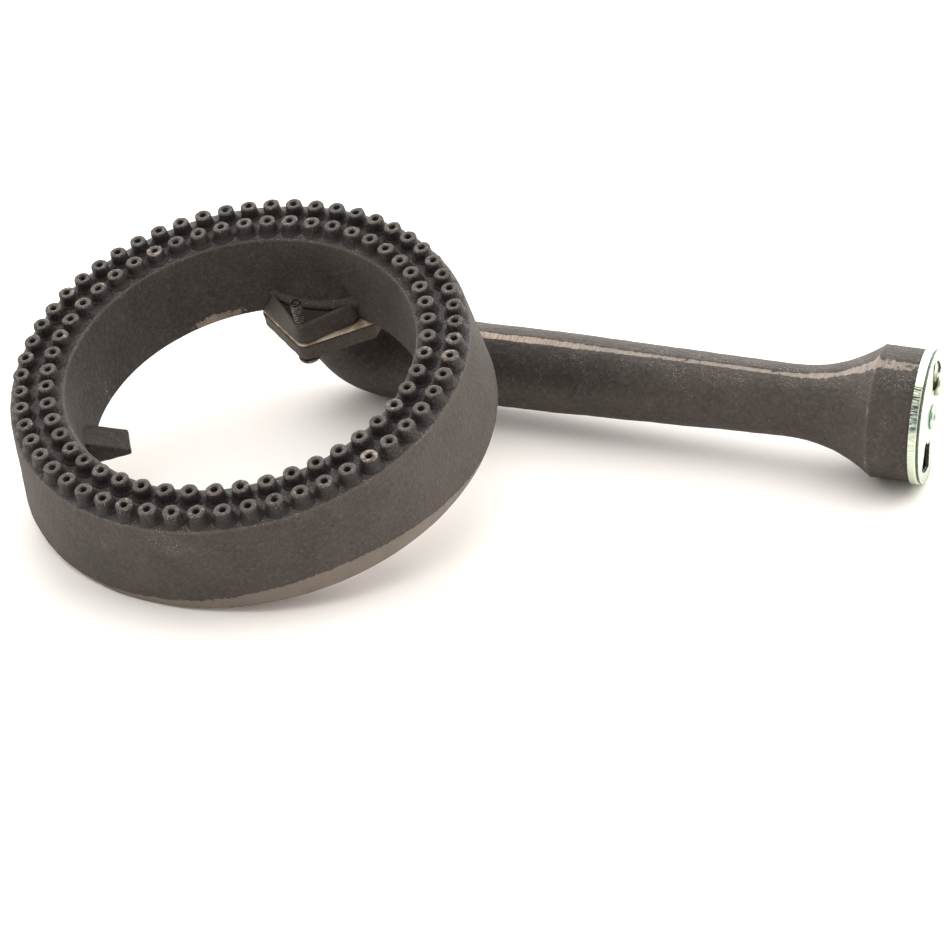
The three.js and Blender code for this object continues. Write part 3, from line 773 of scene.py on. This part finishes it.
black_steel = finish("black_oxide_steel", black_oxide)
upside_down = (1, -1, -1)
for side, name in ((-1, "inner"), (1, "outer")):
    place = flange_centre + np.array([0, side * screw_offset, head_from])
    shank = screw_shank(screw_lengths[name])
    head = turned(screw_head(), screw_turn * side)
    # The crests are rubbed bright, which also paints their highlights
    crest_rub_and_highlight = smooth(np.hypot(shank[..., 0], shank[..., 1]), thread_crest, screw_radius)
    made(name + "_screw_thread", shank * upside_down + place, grid_faces(*shank.shape[:2]),
         black_steel, "burner", "black_steel", name + "_flange_screw", drawn=crest_rub_and_highlight)
    made(name + "_screw_head", head * upside_down + place, grid_faces(*head.shape[:2]),
         black_steel, "burner", "black_steel", drawn=0.4)

# The mixer cap: a cup stamped from zinc-plated sheet, pushed over the machined neck and staked.
# Its face has two arched windows for the primary air.
cap_sheet = 0.0009
sheet_edge = 0.00015
cap_front = seat_gap + cap_sheet
cap_skirt = 0.0032
cap_radius = neck_radius + seat_gap + cap_sheet
cap_bend = 0.0015
band_fade = 0.0012
band_wave = 0.02
band_unevenness = 0.0012
seam_azimuth, seam_width = 111, 0.7
window_inner = 0.0143
window_outer = 0.0296
hub_radius = 0.0056
cap_window = (45, 29)
disc_steps = 360
cap_tint = (0.64, 0.78, 0.69)
disc_tint = (0.53, 0.66, 0.60)
# The dark of dull streaks, also used as a painted dark reflection
dull_and_reflection_zinc = (0.09, 0.10, 0.09)
# The cut edge's dark, which is also painted shade
edge_dark_shade = (0.060, 0.052, 0.054)
edge_light = (0.24, 0.24, 0.22)


def at_mouth(disc):
    """Points of a disc's own frame (right, up and outward at the mouth), in the ring's frame."""
    return mouth_centre + disc[..., [2, 0, 1]]


def windowed(radii, start, span):
    """Quads of a disc's grid, rows from the hub outwards, without those in its two windows, which
    start at that azimuth and opposite it and span that many degrees."""
    row, step = np.meshgrid(np.arange(len(radii) - 1), np.arange(disc_steps), indexing="ij")
    middle = (np.array(radii)[1:] + np.array(radii)[:-1])[:, None] / 2
    turn = (step + 0.5) * 360 / disc_steps
    in_arch = (middle > window_inner) & (middle < window_outer)
    open_here = in_arch & ((turn - start) % 180 < span)
    here, above, beside = row * disc_steps, (row + 1) * disc_steps, (step + 1) % disc_steps
    quads = np.stack([here + step, above + step, above + beside, here + beside], -1)
    return quads[~open_here].tolist()


def sheared(shade):
    """The cut edge of a sheet: dull steel, mottled dark and light, its dark end also painted shade.
    """
    mottle = shade.noise(0.0008, 2.0).step(0.35, 0.65)
    return {"Base Color": mottle.blend(edge_dark_shade, edge_light), "Metallic": 0.6, "Roughness": 0.6}


cut_edge = finish("cut_sheet_edge", sheared)


def thickened(piece, thickness):
    """Gives a one-sided sheet its thickness, behind its outward side, with cut, rounded edges."""
    piece.data.materials.append(cut_edge)
    solid = piece.modifiers.new("sheet", "SOLIDIFY")
    solid.thickness = thickness
    solid.offset = -1
    solid.use_even_offset = True
    solid.material_offset_rim = 1
    bevel = piece.modifiers.new("edges", "BEVEL")
    bevel.width = sheet_edge
    bevel.segments = 2
    bevel.limit_method = "ANGLE"
    bevel.angle_limit = math.radians(50)


def zinc(shade, tint, streaks):
    """Bright zinc plate: the tint with yellower clouds, and dull dark streaks along the tube's axis
    where drawn, which on the cap's band are also a painted dark reflection."""
    clouds = shade.noise(0.012, 2.0)
    drawn = shade.noise(0.0006, 3.0, stretch=(0.12, 1, 1))
    yellower = tuple(part * share for part, share in zip(tint, (1.12, 1.0, 0.88)))
    dull = drawn.step(0.40, 0.58) * shade.mark("drawn") * streaks
    relief = shade.noise(0.0012, 3.0) * 0.4 + drawn * shade.mark("drawn")
    return {
        "Base Color": clouds.step(0.35, 0.65).blend(tint, yellower).tint(dull_and_reflection_zinc, dull),
        "Metallic": 0.9,
        "Roughness": 0.3 + clouds * 0.1 + dull * 0.25,
        "Normal": relief.bump(0.3, 0.0003),
    }


cap_zinc = finish("cap_zinc", lambda shade: zinc(shade, cap_tint, 0.95))
disc_zinc = finish("shutter_zinc", lambda shade: zinc(shade, disc_tint, 0.3))

face_radii = [hub_radius, 0.0075, 0.0105, window_inner, 0.0180,
              0.0220, 0.0260, window_outer, 0.0320, 0.0338]
cap_profile = [(radius, cap_front) for radius in face_radii]
for bend in np.linspace(0, np.pi / 2, 6):
    cap_profile.append((cap_radius - cap_bend * (1 - math.sin(bend)),
                        cap_front - cap_bend * (1 - math.cos(bend))))
for level in np.linspace(cap_front - cap_bend, -cap_skirt, 7)[1:]:
    cap_profile.append((cap_radius, level))
cup = lathe(cap_profile, disc_steps)
on_band = smooth(cup[..., 2], cap_front, cap_front - band_fade)
band_dent = rolling(cup, band_wave, 81) * band_unevenness * (on_band > 0)
cup[..., :2] *= 1 + band_dent[..., None]

# The band is streaked all round, and much more over its top left, from a dark line across it:
# there the dark streaks are a painted dark reflection
band_turn = np.degrees(full_turn(disc_steps))
streaks_and_dark_reflection = 0.75 * smooth(152 - band_turn, 0, 8) + 0.25 * smooth(185 - band_turn, 0, 30)
streaks_and_dark_reflection = 0.10 + smooth(band_turn, 109, 112) * streaks_and_dark_reflection
seam_line = near(band_turn, seam_azimuth, seam_width)
cap_faces = windowed([radius for radius, level in cap_profile], *cap_window)
cap = made("cap_cup", at_mouth(cup), cap_faces, cap_zinc, "burner", "zinc_plate", "mixer_cap",
           drawn=on_band * (streaks_and_dark_reflection + 1.2 * seam_line))
thickened(cap, cap_sheet)

# The air shutter: a flat disc with two wider windows, free to turn in front of the cap, so that
# its own windows open more or less of the cap's.
shutter_sheet = 0.0009
shutter_front = cap_front + seat_gap + shutter_sheet
shutter_window = (17, 56)
shutter_radii = face_radii[:-1] + [0.0340, 0.0350, cap_radius - 0.0005]
disc = lathe([(radius, shutter_front) for radius in shutter_radii], disc_steps)
shutter = made("shutter_disc", at_mouth(disc), windowed(shutter_radii, *shutter_window), disc_zinc,
               "air_shutter", "zinc_plate", "air_shutter", drawn=0.3)
thickened(shutter, shutter_sheet)

# The eyelet: a short tube through both discs, rolled over on either side. The orifice of the
# gas cock enters it, and the shutter turns on it.
eyelet_bore = 0.0043
eyelet_radius = 0.0053
eyelet_rim = 0.0066
eyelet_rim_height = 0.0017
eyelet_steps = 64
eyelet_back = 0.0
eyelet_front = shutter_front + seat_gap
roll_middle = (eyelet_bore + eyelet_rim) / 2
roll_half = (eyelet_rim - eyelet_bore) / 2
roll = [(roll_middle + roll_half * math.cos(a), eyelet_rim_height * math.sin(a))
        for a in np.linspace(0, np.pi, 9)]
eyelet_profile = [(radius, eyelet_back - bulge) for radius, bulge in reversed(roll)]
eyelet_profile += [(eyelet_radius, eyelet_back), (eyelet_radius, eyelet_front)]
eyelet_profile += [(radius, eyelet_front + bulge) for radius, bulge in roll]
eyelet = lathe(eyelet_profile, eyelet_steps)
made("eyelet", at_mouth(eyelet), grid_faces(*eyelet.shape[:2], closed=True), disc_zinc, "burner",
     "zinc_plate", "shutter_eyelet", drawn=0.0)

# The lock screw: a yellow-plated round-head screw, tapped into the cap, whose head clamps the
# shutter through its upper window.
lock_angle = math.radians(28)
lock_offset = 0.0182
lock_length = 0.009
lock_slot_turn = math.radians(-114)
yellow_tint = (0.80, 0.77, 0.62)
yellow_zinc = finish("yellow_zinc_plate", lambda shade: zinc(shade, yellow_tint, 0.5))
lock_place = np.array([lock_offset * math.cos(lock_angle), lock_offset * math.sin(lock_angle),
                       shutter_front + seat_gap])
for name, rows, nodes in (("lock_screw_thread", screw_shank(lock_length), ("lock_screw",)),
                          ("lock_screw_head", screw_head(), ())):
    made(name, at_mouth(turned(rows, lock_slot_turn) + lock_place), grid_faces(*rows.shape[:2]),
         yellow_zinc, "lock_screw", "yellow_zinc", *nodes, drawn=0.2)

# The camera: the photograph's, found from the ring's ellipses. It looks down on the table from
# the front right, and leans over by a degree and a half.
eye = Vector((0.375185, -0.954708, 0.630085))
aim = Vector((-0.00093, 0.03192, 0.0))
camera_lean = math.radians(-1.424)
camera_lens = 86.91
camera = bpy.data.objects.new("camera", bpy.data.cameras.new("camera"))
camera.data.lens = camera_lens
camera.data.sensor_width = 36
camera.data.clip_start = 0.05
camera.data.clip_end = 30
ahead = (aim - eye).normalized()
level_right = ahead.cross(Vector((0, 0, 1))).normalized()
level_up = level_right.cross(ahead)
right = level_right * math.cos(camera_lean) + level_up * math.sin(camera_lean)
up = right.cross(ahead)
camera.matrix_world = Matrix.Translation(eye) @ Matrix((right, up, -ahead)).transposed().to_4x4()
bpy.context.scene.collection.objects.link(camera)
bpy.context.scene.camera = camera

# The table: a wide pale sweep, with plain soft light from behind on both sides and from above.
table_half = 6.0
table_tint = (0.95, 0.92, 0.885, 1)
corner_signs = ((-1, -1), (1, -1), (1, 1), (-1, 1))
table_corners = [(x * table_half, y * table_half, 0) for x, y in corner_signs]
table_mesh = bpy.data.meshes.new("table")
table_mesh.from_pydata(table_corners, [], [(0, 1, 2, 3)])
table_white = finish("table_white", lambda shade: {"Base Color": table_tint, "Roughness": 0.85})
table_mesh.materials.append(table_white)
table = bpy.data.objects.new("table", table_mesh)
bpy.context.scene.collection.objects.link(table)

for name, place, size, power in (("back_left_light", (-1.0, 1.9, 1.2), 2.0, 35.0),
                                 ("back_right_light", (2.4, 2.6, 1.5), 2.6, 47.0),
                                 ("top_light", (-0.25, 0.1, 2.0), 2.4, 10.0)):
    lamp = bpy.data.lights.new(name, "AREA")
    lamp.size = size
    lamp.energy = power
    light = bpy.data.objects.new(name, lamp)
    light.location = place
    light.rotation_euler = (-Vector(place)).to_track_quat("-Z", "Y").to_euler()
    bpy.context.scene.collection.objects.link(light)

# The studio round it: pale walls, and one fixed dark side in front of the object, where the
# photograph was taken from
wall_light = (1.0, 0.985, 0.955)
wall_dark = (0.16, 0.155, 0.15)
world = bpy.data.worlds.new("studio")
world.use_nodes = True
room = Shade(world.node_tree)
outlook = room.node("ShaderNodeTexCoord", output="Generated")
frontward = room.node("ShaderNodeVectorMath", {"operation": "DOT_PRODUCT"},
                      {0: outlook, 1: tuple(-ahead)}, "Value")
walls = frontward.step(0.55, 0.9).blend(wall_light, wall_dark)
room.feed(world.node_tree.nodes["Background"], {"Color": walls, "Strength": 1.85})
bpy.context.scene.world = world
bpy.context.scene.view_settings.view_transform = "Standard"
